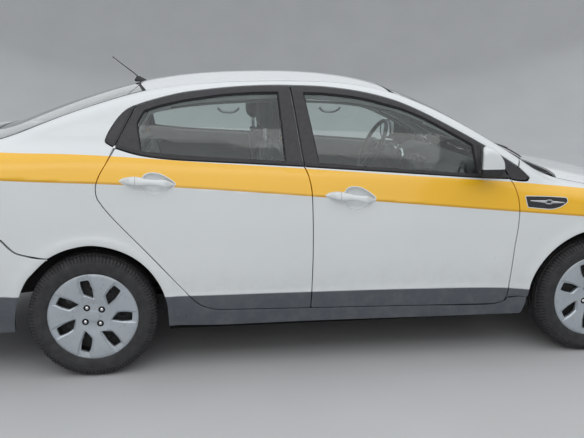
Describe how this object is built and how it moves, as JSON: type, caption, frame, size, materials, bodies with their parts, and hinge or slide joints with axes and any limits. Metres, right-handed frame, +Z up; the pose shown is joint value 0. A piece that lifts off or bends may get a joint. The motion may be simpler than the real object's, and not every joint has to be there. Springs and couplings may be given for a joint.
{
  "type": "taxi cab",
  "caption": "Four-door notchback taxi cab, white with a yellow side stripe; doors, bonnet and boot lid open, the front wheels steer and every wheel rolls.",
  "frame": {"origin": "on the ground under the middle of the car's bounding box, with the car on its wheels", "axes": "+X forwards, towards the bonnet; +Y the car's left; +Z up"},
  "size_m": [4.37, 1.916, 1.5373],
  "materials": {
    "paint": "gloss white with a yellow side stripe",
    "window_glass": "lightly tinted",
    "lamp_clear": "clear",
    "lamp_red": "gloss",
    "steel_coated": "satin",
    "cast_metal": "rough",
    "steel_bare": "dull",
    "black_plastic": "matt",
    "seat_cloth": "woven",
    "wheel_silver": "silver",
    "tyre_rubber": "matt"
  },
  "bodies": {
    "body": {"body_side_left": "paint", "body_side_right": "paint", "roof_panel": "paint", "front_wings": "paint", "front_bumper": "paint", "rear_bumper": "paint", "tail_panel": "paint", "windscreen": "window_glass", "rear_window": "window_glass", "headlamps": "lamp_clear", "tail_lamps": "lamp_red", "floor_pan": "steel_coated", "front_subframe": "steel_coated", "rear_axle_beam": "steel_coated", "radiator": "steel_coated", "fuel_tank": "steel_coated", "engine_block": "cast_metal", "drive_shafts": "steel_bare", "steering_rack": "steel_bare", "rear_springs": "steel_bare", "rear_dampers": "steel_bare", "exhaust": "steel_bare", "cowl_panel": "black_plastic", "lower_grille": "black_plastic", "wheelhouse_liners": "black_plastic", "dashboard": "black_plastic", "centre_console": "black_plastic", "cabin_mirror": "black_plastic", "aerial": "black_plastic", "parcel_shelf": "black_plastic", "front_seats": "seat_cloth", "rear_seat": "seat_cloth"},
    "front_door_left": {"front_door_left": "paint", "front_window_left": "window_glass", "door_mirror_left": "paint"},
    "front_door_right": {"front_door_right": "paint", "front_window_right": "window_glass", "door_mirror_right": "paint"},
    "rear_door_left": {"rear_door_left": "paint", "rear_window_left": "window_glass"},
    "rear_door_right": {"rear_door_right": "paint", "rear_window_right": "window_glass"},
    "bonnet": {"bonnet": "paint"},
    "boot_lid": {"boot_lid": "paint"},
    "knuckle_left": {"knuckle_left": "cast_metal"},
    "knuckle_right": {"knuckle_right": "cast_metal"},
    "front_wheel_left": {"front_wheel_left": "wheel_silver", "front_tyre_left": "tyre_rubber"},
    "front_wheel_right": {"front_wheel_right": "wheel_silver", "front_tyre_right": "tyre_rubber"},
    "rear_wheel_left": {"rear_wheel_left": "wheel_silver", "rear_tyre_left": "tyre_rubber"},
    "rear_wheel_right": {"rear_wheel_right": "wheel_silver", "rear_tyre_right": "tyre_rubber"},
    "steering_wheel": {"steering_wheel": "black_plastic"}
  },
  "joints": [
    {"name": "front_door_left_hinge", "type": "hinge", "parent": "body", "child": "front_door_left", "pos_m": [0.862, 0.834, 0.6], "axis": [0, 0, -1], "range_deg": [0, 65]},
    {"name": "front_door_right_hinge", "type": "hinge", "parent": "body", "child": "front_door_right", "pos_m": [0.862, -0.834, 0.6], "axis": [0, 0, 1], "range_deg": [0, 65]},
    {"name": "rear_door_left_hinge", "type": "hinge", "parent": "body", "child": "rear_door_left", "pos_m": [-0.195, 0.837, 0.6], "axis": [0, 0, -1], "range_deg": [0, 65]},
    {"name": "rear_door_right_hinge", "type": "hinge", "parent": "body", "child": "rear_door_right", "pos_m": [-0.195, -0.837, 0.6], "axis": [0, 0, 1], "range_deg": [0, 65]},
    {"name": "bonnet_hinge", "type": "hinge", "parent": "body", "child": "bonnet", "pos_m": [1.02, 0, 0.975], "axis": [0, -1, 0], "range_deg": [0, 52]},
    {"name": "boot_lid_hinge", "type": "hinge", "parent": "body", "child": "boot_lid", "pos_m": [-1.48, 0, 1.078], "axis": [0, 1, 0], "range_deg": [0, 75]},
    {"name": "steer_left", "type": "hinge", "parent": "body", "child": "knuckle_left", "pos_m": [1.342, 0.688, 0.214], "axis": [-0.0309, -0.1748, 0.9841], "range_deg": [-36, 36]},
    {"name": "steer_right", "type": "hinge", "parent": "body", "child": "knuckle_right", "pos_m": [1.342, -0.688, 0.214], "axis": [-0.0309, 0.1748, 0.9841], "range_deg": [-36, 36]},
    {"name": "steering_wheel_turn", "type": "hinge", "parent": "body", "child": "steering_wheel", "pos_m": [0.412, 0.37, 0.985], "axis": [0.891, 0, -0.454], "range_deg": [-525, 525]},
    {"name": "front_wheel_left_spin", "type": "hinge", "parent": "knuckle_left", "child": "front_wheel_left", "pos_m": [1.34, 0.749, 0.306], "axis": [0, 1, 0], "continuous": true},
    {"name": "front_wheel_right_spin", "type": "hinge", "parent": "knuckle_right", "child": "front_wheel_right", "pos_m": [1.34, -0.749, 0.306], "axis": [0, 1, 0], "continuous": true},
    {"name": "rear_wheel_left_spin", "type": "hinge", "parent": "body", "child": "rear_wheel_left", "pos_m": [-1.23, 0.749, 0.306], "axis": [0, 1, 0], "continuous": true},
    {"name": "rear_wheel_right_spin", "type": "hinge", "parent": "body", "child": "rear_wheel_right", "pos_m": [-1.23, -0.749, 0.306], "axis": [0, 1, 0], "continuous": true}
  ],
  "couplings": [
    {"joint": "steer_right", "follows": "steer_left", "ratio": 1},
    {"joint": "steering_wheel_turn", "follows": "steer_left", "ratio": -14.5}
  ]
}
